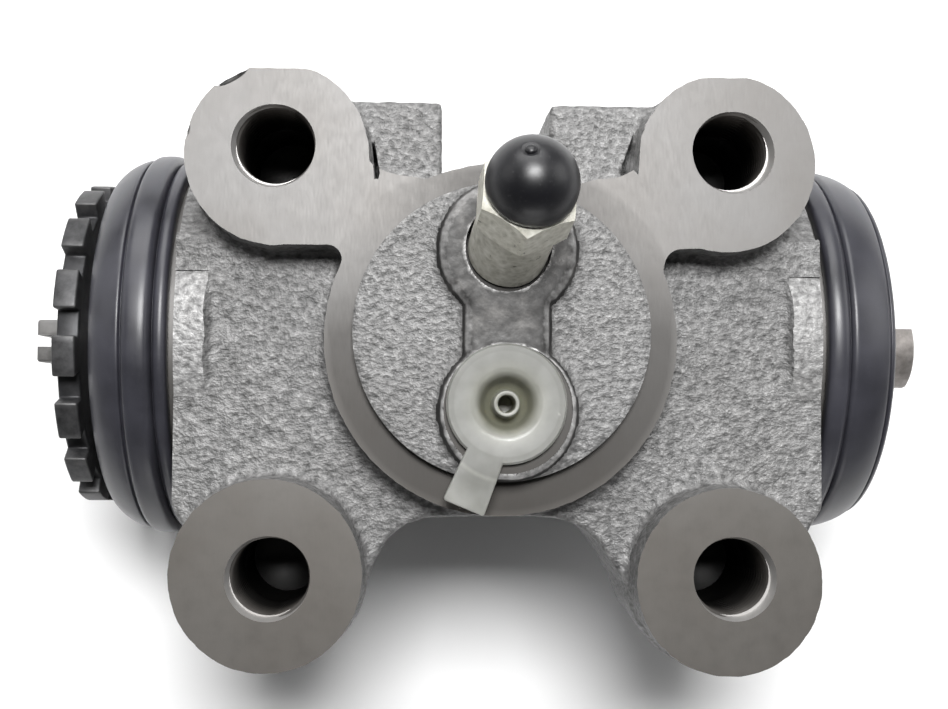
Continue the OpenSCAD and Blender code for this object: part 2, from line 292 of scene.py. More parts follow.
def mat_plug():
    m, nt, p = material("plug_translucent")
    v = coords(nt)
    broad = noise_tex(nt, v, 3.5, 3, 0.55)
    fine = noise_tex(nt, v, 0.5, 2, 0.5)
    flat = node(nt, "ShaderNodeVectorMath", operation="MULTIPLY")
    nt.links.new(v, flat.inputs[0])
    flat.inputs[1].default_value = (1, 1, 0)

    def dist(x, y):
        d = node(nt, "ShaderNodeVectorMath", operation="DISTANCE")
        nt.links.new(flat.outputs[0], d.inputs[0])
        d.inputs[1].default_value = (x, y, 0)
        return d.outputs["Value"]
    # thicker, greener plastic in the dish, paler shoulder, and a painted highlight where the lit rim of the boss
    # shows through the tab
    col = ramp(nt, broad, [(0.3, (0.38, 0.382, 0.355)), (0.7, (0.48, 0.482, 0.455))])
    col = mix(nt, col, ramp(nt, maths(nt, "DIVIDE", dist(0, -7.2), 10.0), [(0.13, (0.55, 0.54, 0.40)), (0.15, (1.25, 1.25, 1.2)), (0.22, (1.25, 1.25, 1.2)),
                                                                         (0.24, (0.55, 0.55, 0.42)), (0.40, (0.72, 0.72, 0.60)), (0.52, (1.15, 1.15, 1.1)), (0.74, (1.0, 1.0, 1.0)), (0.83, (0.98, 0.98, 0.98)), (0.86, (0.80, 0.80, 0.79)), (0.97, (0.92, 0.92, 0.92))]), 1.0, "MULTIPLY")
    # painted highlight: a bright ring where the boss's lit rim shows through, and a lighter tab end
    col = mix(nt, col, ramp(nt, maths(nt, "DIVIDE", dist(0.4, -8.4), 20.0), [(0.535, (1, 1, 1)), (0.56, (1.35, 1.35, 1.33)), (0.585, (1.0, 1.0, 1.0)), (0.63, (1.0, 1.0, 1.0)), (0.80, (1.25, 1.25, 1.25))]), 1.0, "MULTIPLY")
    nt.links.new(col, p.inputs["Base Color"])
    p.inputs["Transmission Weight"].default_value = 0.6
    p.inputs["IOR"].default_value = 1.46
    nt.links.new(ramp(nt, broad, [(0.3, 0.30), (0.7, 0.42)]), p.inputs["Roughness"])
    bump(nt, p, maths(nt, "ADD", broad, maths(nt, "MULTIPLY", fine, 0.3)), 0.18, 0.05)
    return m


CAST = mat_cast()
SKIN = mat_skin()
COLLAR = mat_cast("cast_iron_collar", 1.5, 0.3)
MACH = mat_machined(ring=(-0.5, 3.6, 28.0))
# painted highlight: a lighter copy of the machined iron for the bolt-hole chamfers, which catch the light
CHAM = mat_machined("bright_chamfer", (0.42, 0.41, 0.40), 0.5)
HOLE = mat_machined("tapped_hole", (0.20, 0.19, 0.18), 0.40, painted_hole_shade=True)
BORE = mat_machined("machined_bore", (0.46, 0.455, 0.45), 0.30)
BOOT = mat_rubber("boot_rubber", (0.028, 0.028, 0.035), 0.37)
SEAL = mat_rubber("seal_rubber", (0.015, 0.015, 0.015), 0.42)
CAPR = mat_rubber("cap_rubber", (0.005, 0.005, 0.0065), 0.37, 0.6, 0.3, 0.45)
WHEEL = mat_steel("phosphated_steel", (0.040, 0.040, 0.042), 0.48, 0.6, 0.45, (0.17, 0.168, 0.166))
SCREW = mat_steel("plain_steel", (0.125, 0.122, 0.118), 0.50, 0.6, 0.4, (0.28, 0.275, 0.27))
PUSH = mat_steel("push_rod_steel", (0.27, 0.25, 0.235), 0.46, 0.7, 0.4, (0.42, 0.40, 0.385))
SPRING = mat_steel("spring_steel", (0.50, 0.50, 0.52), 0.33, 0.95, 0.3, (0.6, 0.6, 0.6))
PISTON = mat_machined("turned_piston", (0.58, 0.58, 0.60), 0.34)
ZINC = mat_zinc()
PLUG = mat_plug()
SEAT = mat_steel("seat_metal", (0.62, 0.47, 0.22), 0.33, 0.95, 0.3, (0.8, 0.66, 0.4))


# ---------------------------------------------------------------- mesh helpers, all in mm
def obj_from(name, verts, faces, mats):
    me = bpy.data.meshes.new(name)
    me.from_pydata([tuple(v) for v in verts], [], faces)
    for m in (mats if isinstance(mats, (list, tuple)) else [mats]):
        me.materials.append(m)
    me.validate()
    o = bpy.data.objects.new(name, me)
    scene.collection.objects.link(o)
    return o


def fix_normals(o):
    bm = bmesh.new()
    bm.from_mesh(o.data)
    bmesh.ops.recalc_face_normals(bm, faces=bm.faces)
    bm.to_mesh(o.data)
    bm.free()


def ring_lathe(profile, seg, m=None, phase=0.0):
    """Closed profile [(r, s)...] turned about local Z. Points with r=0 become poles. Returns verts and faces."""
    verts, faces, rows = [], [], []
    for r, s in profile:
        if r < 1e-6:
            rows.append([len(verts)])
            verts.append((0, 0, s))
        else:
            base = len(verts)
            for k in range(seg):
                a = 2 * math.pi * k / seg + phase
                verts.append((r * math.cos(a), r * math.sin(a), s))
            rows.append(list(range(base, base + seg)))
    n = len(rows)
    for i in range(n):
        a, b = rows[i], rows[(i + 1) % n]
        if len(a) == 1 and len(b) == 1:
            continue
        for k in range(seg):
            k2 = (k + 1) % seg
            if len(a) == 1:
                faces.append((a[0], b[k], b[k2]))
            elif len(b) == 1:
                faces.append((a[k], b[0], a[k2]))
            else:
                faces.append((a[k], b[k], b[k2], a[k2]))
    if m is not None:
        verts = [tuple(m @ Vector(v)) for v in verts]
    return verts, faces


def prism(poly, z0, z1):
    n = len(poly)
    verts = [(x, y, z0) for x, y in poly] + [(x, y, z1) for x, y in poly]
    faces = [tuple(range(n - 1, -1, -1)), tuple(range(n, 2 * n))]
    faces += [(k, (k + 1) % n, n + (k + 1) % n, n + k) for k in range(n)]
    return verts, faces


def circle(cx, cy, r, n=96, top=None):
    out = []
    for k in range(n):
        a = 2 * math.pi * k / n
        y = cy + r * math.sin(a)
        out.append((cx + r * math.cos(a), y if top is None else min(y, top)))
    return out


def cone(cx, cy, r0, r1, z0, z1, n=96, top=None):
    a, b = circle(cx, cy, r0, n, top), circle(cx, cy, r1, n, top)
    verts = [(x, y, z0) for x, y in a] + [(x, y, z1) for x, y in b]
    faces = [tuple(range(n - 1, -1, -1)), tuple(range(n, 2 * n))]
    faces += [(k, (k + 1) % n, n + (k + 1) % n, n + k) for k in range(n)]
    return verts, faces


def box(x0, y0, z0, x1, y1, z1):
    return prism([(x0, y0), (x1, y0), (x1, y1), (x0, y1)], z0, z1)


def arc(cx, cy, r, a0, a1, n):
    return [(cx + r * math.cos(math.radians(a0 + (a1 - a0) * i / n)), cy + r * math.sin(math.radians(a0 + (a1 - a0) * i / n))) for i in range(n + 1)]


def merge(parts):
    verts, faces = [], []
    for v, f in parts:
        o = len(verts)
        verts += list(v)
        faces += [tuple(i + o for i in q) for q in f]
    return verts, faces


def chaikin(points, turns=2, closed=True, keep=0.25):
    p = [np.array(q, float) for q in points]
    for _ in range(turns):
        out = []
        n = len(p)
        for i in range(n if closed else n - 1):
            a, b = p[i], p[(i + 1) % n]
            out += [a + (b - a) * keep, b - (b - a) * keep]
        p = out
    return [tuple(q) for q in p]


def applied(o):
    dg = bpy.context.evaluated_depsgraph_get()
    me = bpy.data.meshes.new_from_object(o.evaluated_get(dg), preserve_all_data_layers=True, depsgraph=dg)
    old = o.data
    o.modifiers.clear()
    o.data = me
    if old.users == 0:
        bpy.data.meshes.remove(old)
    return o


def cut(o, tool, op="DIFFERENCE"):
    fix_normals(tool)
    md = o.modifiers.new("cut", "BOOLEAN")
    md.operation = op
    md.solver = "MANIFOLD"
    md.object = tool
    if hasattr(md, "material_mode"):
        md.material_mode = "TRANSFER"
    applied(o)
    bpy.data.objects.remove(tool)
    return o


def shade(o, angle=32.0, soft=()):
    """Smooth faces with sharp edges over an angle; edges between faces of a soft material stay smooth."""
    me = o.data
    bm = bmesh.new()
    bm.from_mesh(me)
    lim = math.radians(angle)
    for f in bm.faces:
        f.smooth = True
    for e in bm.edges:
        if len(e.link_faces) != 2:
            e.smooth = False
            continue
        a, b = e.link_faces
        if a.material_index in soft and b.material_index in soft:
            e.smooth = True
        elif a.material_index != b.material_index:
            e.smooth = False
        else:
            e.smooth = e.calc_face_angle(0.0) < lim
    bm.to_mesh(me)
    bm.free()


def to_metres(o):
    o.data.transform(Matrix.Scale(0.001, 4))
    return o


def bevel_sharp(o, width, segments=2, angle=30.0):
    bm = bmesh.new()
    bm.from_mesh(o.data)
    bmesh.ops.remove_doubles(bm, verts=bm.verts, dist=1e-4)
    bmesh.ops.dissolve_limit(bm, angle_limit=math.radians(0.6), verts=bm.verts, edges=bm.edges, delimit={"MATERIAL"})
    lim = math.radians(angle)
    sharp = [e for e in bm.edges if len(e.link_faces) == 2 and e.calc_face_angle(0.0) > lim]
    bmesh.ops.bevel(bm, geom=sharp, offset=width, offset_type="OFFSET", segments=segments, profile=0.5, affect="EDGES", clamp_overlap=True)
    bm.to_mesh(o.data)
    bm.free()
    return o


# ---------------------------------------------------------------- the casting
def front_outline(half):
    return [(-half, 22), (-half, -23), (-50, -34), (-38, -40), (-23.6, -40.5), (-23.0, -38.4), (-21.5, -34.1), (-19.2, -30.2), (-16.5, -27.8),
            (-13.1, -26.6), (-8, -26.3), (0, -26.3), (5, -26.3), (9, -26.5), (12, -27.2), (14.6, -28.5), (16.5, -30.2), (18.2, -32.6),
            (20.0, -35.3), (21.6, -37.8), (23.0, -40.5), (38, -40), (50, -34), (half, -23), (half, 22)]


def web_outline(s):
    p = ([(-38, 33.5), (-38, 18.7), (-30, 18.9)] + arc(-29.4, 16.2, 2.7, 90, 0, 6)
         + [(-20, 8), (-8, 26), (-14, 30.2), (-19, 30.8), (-24, 33)])
    return [(s * x, y) for x, y in p][:: s]


def x_cyl(r, x0, x1, n=128):
    return ring_lathe([(0, x0), (r, x0), (r, x1), (0, x1)], n, BORE_M)


BOSSES = {"tl": (-37.8, 33.9, 15.2, 48.2), "tr": (37.2, 33.4, 15.05, 47.9), "bl": (-38.7, -35.3, 15.7, None), "br": (37.5, -36.3, 15.45, None)}


def raw_casting():
    top = 1.3
    parts = [x_cyl(33.0, -63.5, 63.5)]
    for s in (-1, 1):
        a, b = sorted((s * 50.2, s * 58))
        parts.append(x_cyl(34.85, a, b))
    parts.append(prism(front_outline(56.8), -34, -8))
    for k, (x, y, r, flat) in BOSSES.items():
        low = k[0] == "b"
        r_top, r_bot = (r + 0.75, r - 0.6) if low else (r + 0.7, r - 0.5)
        parts.append(cone(x, y, r_bot, r_top, -40, -8.2, 96, flat))
        parts.append(cone(x, y, r_bot - 3.5, r_bot, -43.5, -39.5, 96, flat))
        parts.append(cone(x, y, r + 0.15, r, -20, top, 96, flat))
    parts.append(box(-27, 24, -32, -10.4, 45.2, -8.4))
    parts.append(box(8.2, 24, -32, 27, 45.1, -8.4))
    parts.append(cone(-0.5, 3.6, 29.4, 29.2, -32, top, 128))
    parts.append(prism(web_outline(-1), -26, top))
    parts.append(prism(web_outline(1), -26, top))
    parts.append(cone(-0.5, 4.6, 25.2, 24.9, -6, 2.8, 128))
    parts.append(cone(0.4, -8.4, 11.6, 11.1, -6, 5.6))
    parts.append(cone(0.2, 17.9, 11.8, 11.2, -6, 5.3))
    parts.append(box(-6.8, -9, -6, 7.0, 18, 5.2))
    # flat foot with drafted sides
    f0 = [(-30, BY - 19), (30, BY - 19), (30, BY + 19), (-30, BY + 19)]
    f1 = [(-32, BY - 22), (32, BY - 22), (32, BY + 22), (-32, BY + 22)]
    v = [(x, y, FLOOR_Z - 0.8) for x, y in f0] + [(x, y, -58.0) for x, y in f1]
    parts.append((v, [(3, 2, 1, 0), (4, 5, 6, 7)] + [(k, (k + 1) % 4, 4 + (k + 1) % 4, 4 + k) for k in range(4)]))
    return merge(parts)


def cast_noise(p):
    n = noise.noise
    q = Vector((p.x * 0.8, p.y, p.z))
    a = n(q / 1.8) * 0.6 + n(q / 1.1 + Vector((7.1, 3.3, 1.7))) * 0.75
    return a + n(p / 6.0 + Vector((2.0, 9.0, 4.0))) * 0.35


def key_distance(x, y):
    """Distance outside the keyhole-shaped port boss, in mm."""
    d = np.minimum(np.hypot(x - 0.4, y + 8.4) - 11.4, np.hypot(x - 0.2, y - 17.9) - 11.5)
    return np.minimum(d, np.maximum(np.abs(x - 0.1) - 7.2, np.abs(y - 4.5) - 14))


def make_body():
    v, f = raw_casting()
    o = obj_from("cylinder_casting", v, f, [CAST, MACH, BORE, SKIN, HOLE, COLLAR, CHAM])
    md = o.modifiers.new("remesh", "REMESH")
    md.mode = "VOXEL"
    md.voxel_size = 0.62
    sm = o.modifiers.new("smooth", "SMOOTH")
    sm.factor = 0.5
    sm.iterations = 9
    applied(o)
    me = o.data
    n = len(me.vertices)
    co = np.empty(n * 3, np.float32)
    me.vertices.foreach_get("co", co)
    co = co.reshape(-1, 3)
    nor = np.empty(n * 3, np.float32)
    me.vertex_normals.foreach_get("vector", nor)
    nor = nor.reshape(-1, 3)
    amp = np.array([cast_noise(Vector(p)) for p in co.tolist()], np.float32)
    # the keyhole-shaped port boss is smoother than the rest
    x, y, z = co.T
    key = key_distance(x, y)
    calm = np.where((key < 0) & (z > 3.2), 0.35, 1.0)
    co = co + nor * (amp * 0.145 * calm)[:, None]
    me.vertices.foreach_set("co", co.ravel())
    # fewer faces where the casting is turned away from the mounting side
    vg = o.vertex_groups.new(name="back")
    w = np.clip((-13.0 - z) / 10.0, 0, 1)
    for i in np.nonzero(w > 0)[0].tolist():
        vg.add([i], float(w[i]), "REPLACE")
    dm = o.modifiers.new("thin", "DECIMATE")
    dm.ratio = 0.40
    dm.vertex_group = "back"
    dm.vertex_group_factor = 1.0
    applied(o)
    o.vertex_groups.clear()
    me = o.data
    me.materials.clear()
    for m in (CAST, MACH, BORE, SKIN, HOLE, COLLAR, CHAM):
        me.materials.append(m)
    me.polygons.foreach_set("material_index", np.zeros(len(me.polygons), np.int32))
    for f in me.polygons:
        c = f.center
        if c.z > 3.3 and key_distance(c.x, c.y) < 0.2:
            f.material_index = 3

    # machined plane of the bosses and ring
    tool = ring_lathe([(24.4, 0.0), (130, 0.0), (130, 6), (24.4, 6)], 160, Matrix.Translation((-0.5, 4.6, 0)))
    cut(o, obj_from("t", *tool, MACH))
    # spotface of the inlet port
    tool = ring_lathe([(0, 5.2), (10.4, 5.2), (10.4, 12), (0, 12)], 96, Matrix.Translation((0.3, -8.0, 0)))
    cut(o, obj_from("t", *tool, MACH))
    # foot
    cut(o, obj_from("t", *box(-60, -40, FLOOR_Z - 8, 60, 50, FLOOR_Z), MACH))
    # turned ends and spigots
    for s in (-1, 1):
        prof = [(70, s * 55.5), (32.5, s * 55.5), (32.5, s * 57), (30.5, s * 57), (30.5, s * 60), (32.5, s * 60),
                (32.5, s * 61.4), (31.8, s * 62), (10, s * 62), (10, s * 72), (70, s * 72)]
        t = obj_from("t", *ring_lathe(prof, 128, BORE_M), MACH)
        fix_normals(t)
        cut(o, t)
        # crisp top of the collar
        a, b = sorted((s * 50.0, s * 56.2))
        t = obj_from("t", *box(a, BY - 10.6, -14, b, BY + 10.8, 4), COLLAR)
        fix_normals(t)
        c = obj_from("c", *x_cyl(34.5, -60, 60, 192), COLLAR)
        cut(t, c)
        cut(o, t)
    # bore
    t = obj_from("t", *ring_lathe([(0, -80), (22.225, -80), (22.225, 80), (0, 80)], 128, BORE_M), BORE)
    fix_normals(t)
    cut(o, t)
    # tapped bolt holes
    for sx in (-1, 1):
        for sy in (-1, 1):
            t = obj_from("t", *thread_tool(6.3, 6.72, 1.5, -17.0, -0.9, 6.6, -30.0, 44), HOLE)
            t.data.transform(Matrix.Translation((sx * 38, sy * 35.5, 0)))
            cut(o, t)
            t = obj_from("t", *ring_lathe([(0, -1.7), (6.28, -1.7), (6.92, 0), (7.2, 0.8), (7.2, 9), (0, 9)], 88, Matrix.Translation((sx * 38.4, sy * 35.5 - 0.3, 0))), CHAM)
            cut(o, t)
    # flaws in the rim of the upper left boss
    for x, y, a, length, depth in ((-45.4, 46.7, 30, 3.2, 1.6), (-53.0, 37.6, 76, 1.8, 1.0)):
        m = Matrix.Translation((x, y, 0)) @ Matrix.Rotation(math.radians(a), 4, "Z") @ Matrix.Diagonal((length, 0.95, depth, 1))
        prof = [(math.sin(math.radians(t)), -math.cos(math.radians(t))) for t in range(0, 181, 15)]
        prof[0], prof[-1] = (0, -1), (0, 1)
        cut(o, obj_from("t", *ring_lathe(prof, 24, m), SKIN))
    # narrow slit between the upper left boss and its lug
    cut(o, obj_from("t", *prism([(-22.5, 37.6), (-22.0, 37.8), (-20.8, 31.0), (-21.0, 29.9), (-21.7, 29.9)], -17, 3), CAST))
    cut(o, obj_from("t", *prism([(20.4, 33.0), (22.3, 31.2), (22.9, 40.2)], -17, 3), CAST))
    # inlet port and passage
    t = obj_from("t", *ring_lathe([(0, -24), (1.5, -24), (1.5, -7), (5.45, -7), (5.45, 4.6), (6.1, 5.21), (6.1, 14), (0, 14)], 64, Matrix.Translation((0, -7.2, 0))), BORE)
    fix_normals(t)
    cut(o, t)
    # bleeder spotface, tapped hole and passage
    t = obj_from("t", *ring_lathe([(0, -29), (1.5, -29), (1.5, -19.9), (5.0, -17), (5.0, -3), (7.0, -3), (7.0, 22), (0, 22)], 64, BLEED_M), MACH)
    fix_normals(t)
    cut(o, t)

    shade(o, 34, soft=(0, 3))
    to_metres(o)
    return o


def thread_tool(r0, r1, pitch, z0, z1, mouth, bottom, seg):
    """Cutter for a tapped blind hole along Z: helical grooves from z0 to z1, a chamfered mouth and a drilled end."""
    per = 5
    rows = []
    zs = np.arange(z0, z1 + 1e-6, pitch / per)

    def wall(z, k):
        ph = (z / pitch - k / seg) % 1.0
        tri = 1 - abs(2 * ph - 1)
        return r0 + (r1 - r0) * min(1.0, max(0.0, tri * 1.35 - 0.12))

    verts = [(0, 0, bottom - 3.2)]
    rows.append([(r0, bottom)] * seg)
    rows.append([(r0, z0 - 0.4)] * seg)
    for z in zs:
        rows.append([(wall(z, k), z) for k in range(seg)])
    rows.append([(r1 + 0.02, z1 + 0.25)] * seg)
    rows.append([(mouth, 0.0)] * seg)
    rows.append([(mouth + 1.0, 1.0)] * seg)
    rows.append([(mouth + 1.0, 9.0)] * seg)
    idx = []
    for row in rows:
        ids = []
        for k, (r, z) in enumerate(row):
            a = 2 * math.pi * k / seg
            ids.append(len(verts))
            verts.append((r * math.cos(a), r * math.sin(a), z))
        idx.append(ids)
    faces = [(0, idx[0][(k + 1) % seg], idx[0][k]) for k in range(seg)]
    for a, b in zip(idx, idx[1:]):
        faces += [(a[k], a[(k + 1) % seg], b[(k + 1) % seg], b[k]) for k in range(seg)]
    faces.append(tuple(idx[-1]))
    return verts, faces


body = make_body()
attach(body, "cylinder")
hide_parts("cylinder_body")


# ---------------------------------------------------------------- rubber boots
def boot(name, side, outer, inner):
    prof = chaikin([(r, side * x) for r, x in outer + inner], 3)
    v, f = ring_lathe(prof, 168, BORE_M)
    o = obj_from(name, v, f, BOOT)
    fix_normals(o)
    shade(o, 60)
    to_metres(o)
    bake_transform(o)
    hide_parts("left_boot" if side < 0 else "right_boot")
    return o


left_out = [(32.6, 56.7), (34.3, 56.6), (35.2, 56.9), (35.5, 57.6), (35.4, 58.4), (34.9, 58.9), (34.3, 59.05), (34.3, 59.15),
            (35.2, 59.25), (36.1, 59.7), (36.4, 60.6), (36.4, 62.0), (36.3, 63.2), (35.9, 63.9), (35.1, 64.15), (34.9, 64.25), (35.1, 64.4),
            (35.6, 64.6), (35.4, 65.6), (34.9, 66.8), (34.1, 68.2), (33.0, 69.5), (31.8, 70.4), (30.4, 70.7),
            (27.0, 70.2), (24.2, 69.5), (22.2, 69.6), (20.8, 69.4), (19.0, 69.3), (17.1, 69.3)]
left_in = [(17.1, 66.7), (19.0, 66.7), (20.8, 66.7), (24.0, 67.2), (27.2, 68.2), (30.4, 68.5), (31.6, 67.4), (32.7, 65.5), (33.2, 63.6), (32.6, 62.4),
           (32.6, 61.0), (32.6, 59.9), (30.6, 59.9), (30.6, 57.1), (32.6, 57.1)]
right_out = [(32.6, 56.7), (34.2, 56.6), (35.1, 56.9), (35.5, 57.8), (35.6, 58.8), (35.4, 59.7), (34.8, 60.25), (34.3, 60.4), (34.3, 60.5),
             (34.8, 60.65), (35.2, 61.2), (35.1, 62.2), (34.7, 64.0), (34.1, 65.8), (33.4, 67.2), (32.9, 67.9), (32.4, 68.1), (32.3, 68.2),
             (32.6, 68.35), (32.5, 68.8), (31.9, 69.3), (30.6, 69.5), (26.5, 68.9), (24.0, 68.2), (22.0, 68.3), (20.8, 68.0), (19.0, 67.9), (17.1, 67.9)]
right_in = [(17.1, 65.1), (19.0, 65.1), (20.8, 65.1), (23.8, 65.9), (27.0, 66.9), (30.2, 67.2), (31.3, 66.0), (32.2, 64.4), (32.9, 63.2), (32.6, 62.4),
            (32.6, 61.0), (32.6, 59.9), (30.6, 59.9), (30.6, 57.1), (32.6, 57.1)]
boot("left_dust_boot", -1, left_out, left_in)
boot("right_dust_boot", 1, right_out, right_in)


# ---------------------------------------------------------------- return spring, in two halves
def half_spring(name, side):
    turns, wire, mean, span = 5.0, 1.1, 10.5, 26.0
    steps, sides = 120, 12
    pts = []
    for i in range(steps + 1):
        t = 0.5 + side * 0.5 * i / steps
        a = 2 * math.pi * turns * t
        x = -span / 2 + wire + (span - 2 * wire) * t
        pts.append((x, a))
    verts, faces = [], []
    for x, a in pts:
        for k in range(sides):
            b = 2 * math.pi * k / sides
            r = mean + wire * math.cos(b)
            verts.append((x + wire * math.sin(b), BY + r * math.cos(a), BZ + r * math.sin(a)))
    for i in range(steps):
        for k in range(sides):
            k2 = (k + 1) % sides
            faces.append((i * sides + k, i * sides + k2, (i + 1) * sides + k2, (i + 1) * sides + k))
    faces.append(tuple(range(sides)))
    faces.append(tuple(range(steps * sides, steps * sides + sides)))
    o = obj_from(name, verts, faces, SPRING)
    fix_normals(o)
    shade(o, 50)
    to_metres(o)
    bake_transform(o)
    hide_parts("return_spring")


half_spring("return_spring_left", -1)
half_spring("return_spring_right", 1)


# ---------------------------------------------------------------- adjuster wheel
def make_wheel():
    teeth, tip, root = 16, 30.5, 27.5
    x0, x1 = -72.95, -76.95
    outline = []
    for i in range(teeth):
        c = 2 * math.pi * i / teeth
        # tooth flanks are parallel to its own centre line
        half_gap = 2.35
        n = 6
        a_tip = math.pi / teeth - math.asin(half_gap / tip)
        a_root = math.pi / teeth - math.asin(half_gap / root)
        outline.append((root, c - a_root))
        for k in range(n + 1):
            outline.append((tip, c - a_tip + 2 * a_tip * k / n))
        outline.append((root, c + a_root))
    phase = math.radians(7.3)

    def place(r, a, x):
        # angle 0 is +Z, growing towards -Y
        return (x, BY - r * math.sin(a + phase), BZ + r * math.cos(a + phase))

    n = len(outline)
    seg_in = 64
    verts = [place(r, a, x0) for r, a in outline] + [place(r, a, x1) for r, a in outline]
    faces = [(k, (k + 1) % n, n + (k + 1) % n, n + k) for k in range(n)]
    faces += [tuple(range(n)), tuple(range(2 * n - 1, n - 1, -1))]
    o = obj_from("adjuster_star_wheel", verts, faces, WHEEL)
    fix_normals(o)
    bm = bmesh.new()
    bm.from_mesh(o.data)
    sharp = [e for e in bm.edges if len(e.link_faces) == 2 and e.calc_face_angle(0.0) > math.radians(30)]
    bmesh.ops.bevel(bm, geom=sharp, offset=0.42, offset_type="OFFSET", segments=3, profile=0.5, affect="EDGES", clamp_overlap=True)
    bm.to_mesh(o.data)
    bm.free()
    # outer face: shallow dish and a raised rim round the screw, inner face: step against the piston
    t = obj_from("t", *ring_lathe([(13.5, -90), (24.6, -90), (24.6, -76.6), (24.0, -76.2), (14.1, -76.2), (13.5, -76.6)], 128, BORE_M), WHEEL)
    fix_normals(t)
    cut(o, t)
    # sleeve with its groove
    prof = [(8, -42), (14.4, -42), (15, -42.6), (15, -60), (13.2, -60), (13.2, -62.4), (15, -62.4), (15, -73.6), (8, -73.6)]
    t = obj_from("t", *ring_lathe(prof, 96, BORE_M), WHEEL)
    fix_normals(t)
    cut(o, t, "UNION")
    t = obj_from("t", *ring_lathe([(0, -30), (10.05, -30), (10.05, -76.2), (11.0, -77.2), (11.0, -90), (0, -90)], 96, BORE_M), WHEEL)
    fix_normals(t)
    cut(o, t)
    shade(o, 38)
    to_metres(o)
    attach(o, "wheel")
    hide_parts("adjuster_wheel")
    return o


make_wheel()


# ---------------------------------------------------------------- adjuster screw with a cut thread and slotted tongue
def threaded_rod(r_out, depth, pitch, x0, x1, seg, sgn):
    per = 6
    m = int(round((x1 - x0) / pitch * per))
    verts, faces, idx = [], [], []
    for i in range(m + 1):
        x = x0 + (x1 - x0) * i / m
        fade = min(1.0, (x - x0) / 1.6, (x1 - x) / 1.6)
        ids = []
        for k in range(seg):
            ph = (x / pitch - k / seg) % 1.0
            tri = 1 - abs(2 * ph - 1)
            r = r_out - depth * (1 - min(1.0, max(0.0, tri * 1.4 - 0.15))) * max(0.0, fade) - (0.7 * max(0.0, 1 - (x - x0) / 0.8))
            a = 2 * math.pi * k / seg
            ids.append(len(verts))
            verts.append((sgn * x, BY + r * math.cos(a), BZ + r * math.sin(a)))
        idx.append(ids)
    for a, b in zip(idx, idx[1:]):
        faces += [(a[k], a[(k + 1) % seg], b[(k + 1) % seg], b[k]) for k in range(seg)]
    faces += [tuple(reversed(idx[0])), tuple(idx[-1])]
    return verts, faces


def make_screw():
    o = obj_from("adjuster_screw_rod", *threaded_rod(9.98, 0.75, 1.5, 44.0, 78.4, 48, -1), SCREW)
    fix_normals(o)
    t = obj_from("t", *box(-86, BY - 4, BZ - 8.4, -77.2, BY + 4, BZ + 8.4), SCREW)
    fix_normals(t)
    bevel_sharp(t, 0.55, 3)
    cut(o, t, "UNION")
    t = obj_from("t", *box(-90, BY - 1.1, BZ - 15, -80.8, BY + 1.1, BZ + 15), SCREW)
    fix_normals(t)
    cut(o, t)
    shade(o, 40)
    to_metres(o)
    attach(o, "screw")
    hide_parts("adjuster_screw")


make_screw()


# ---------------------------------------------------------------- right push rod
def make_tappet():
    prof = [(0, 44.4), (9.2, 44.4), (10, 45.2), (10, 72.7), (9.7, 73.3), (9.0, 73.6), (8.5, 74.2), (8.4, 75), (8.4, 81.4), (8.2, 82.0), (7.7, 82.3), (0, 82.3)]
    o = obj_from("right_push_rod", *ring_lathe(prof, 96, BORE_M), PUSH)
    fix_normals(o)
    t = obj_from("t", *box(76.4, BY - 20, BZ - 3.5, 92, BY + 20, BZ + 3.5), PUSH)
    cut(o, t)
    t = obj_from("t", *box(74.6, BY + 3.8, BZ - 12, 92, BY + 16, BZ + 12), PUSH)
    cut(o, t)
    shade(o, 34)
    to_metres(o)
    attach(o, "tappet")
    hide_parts("right_tappet")


make_tappet()


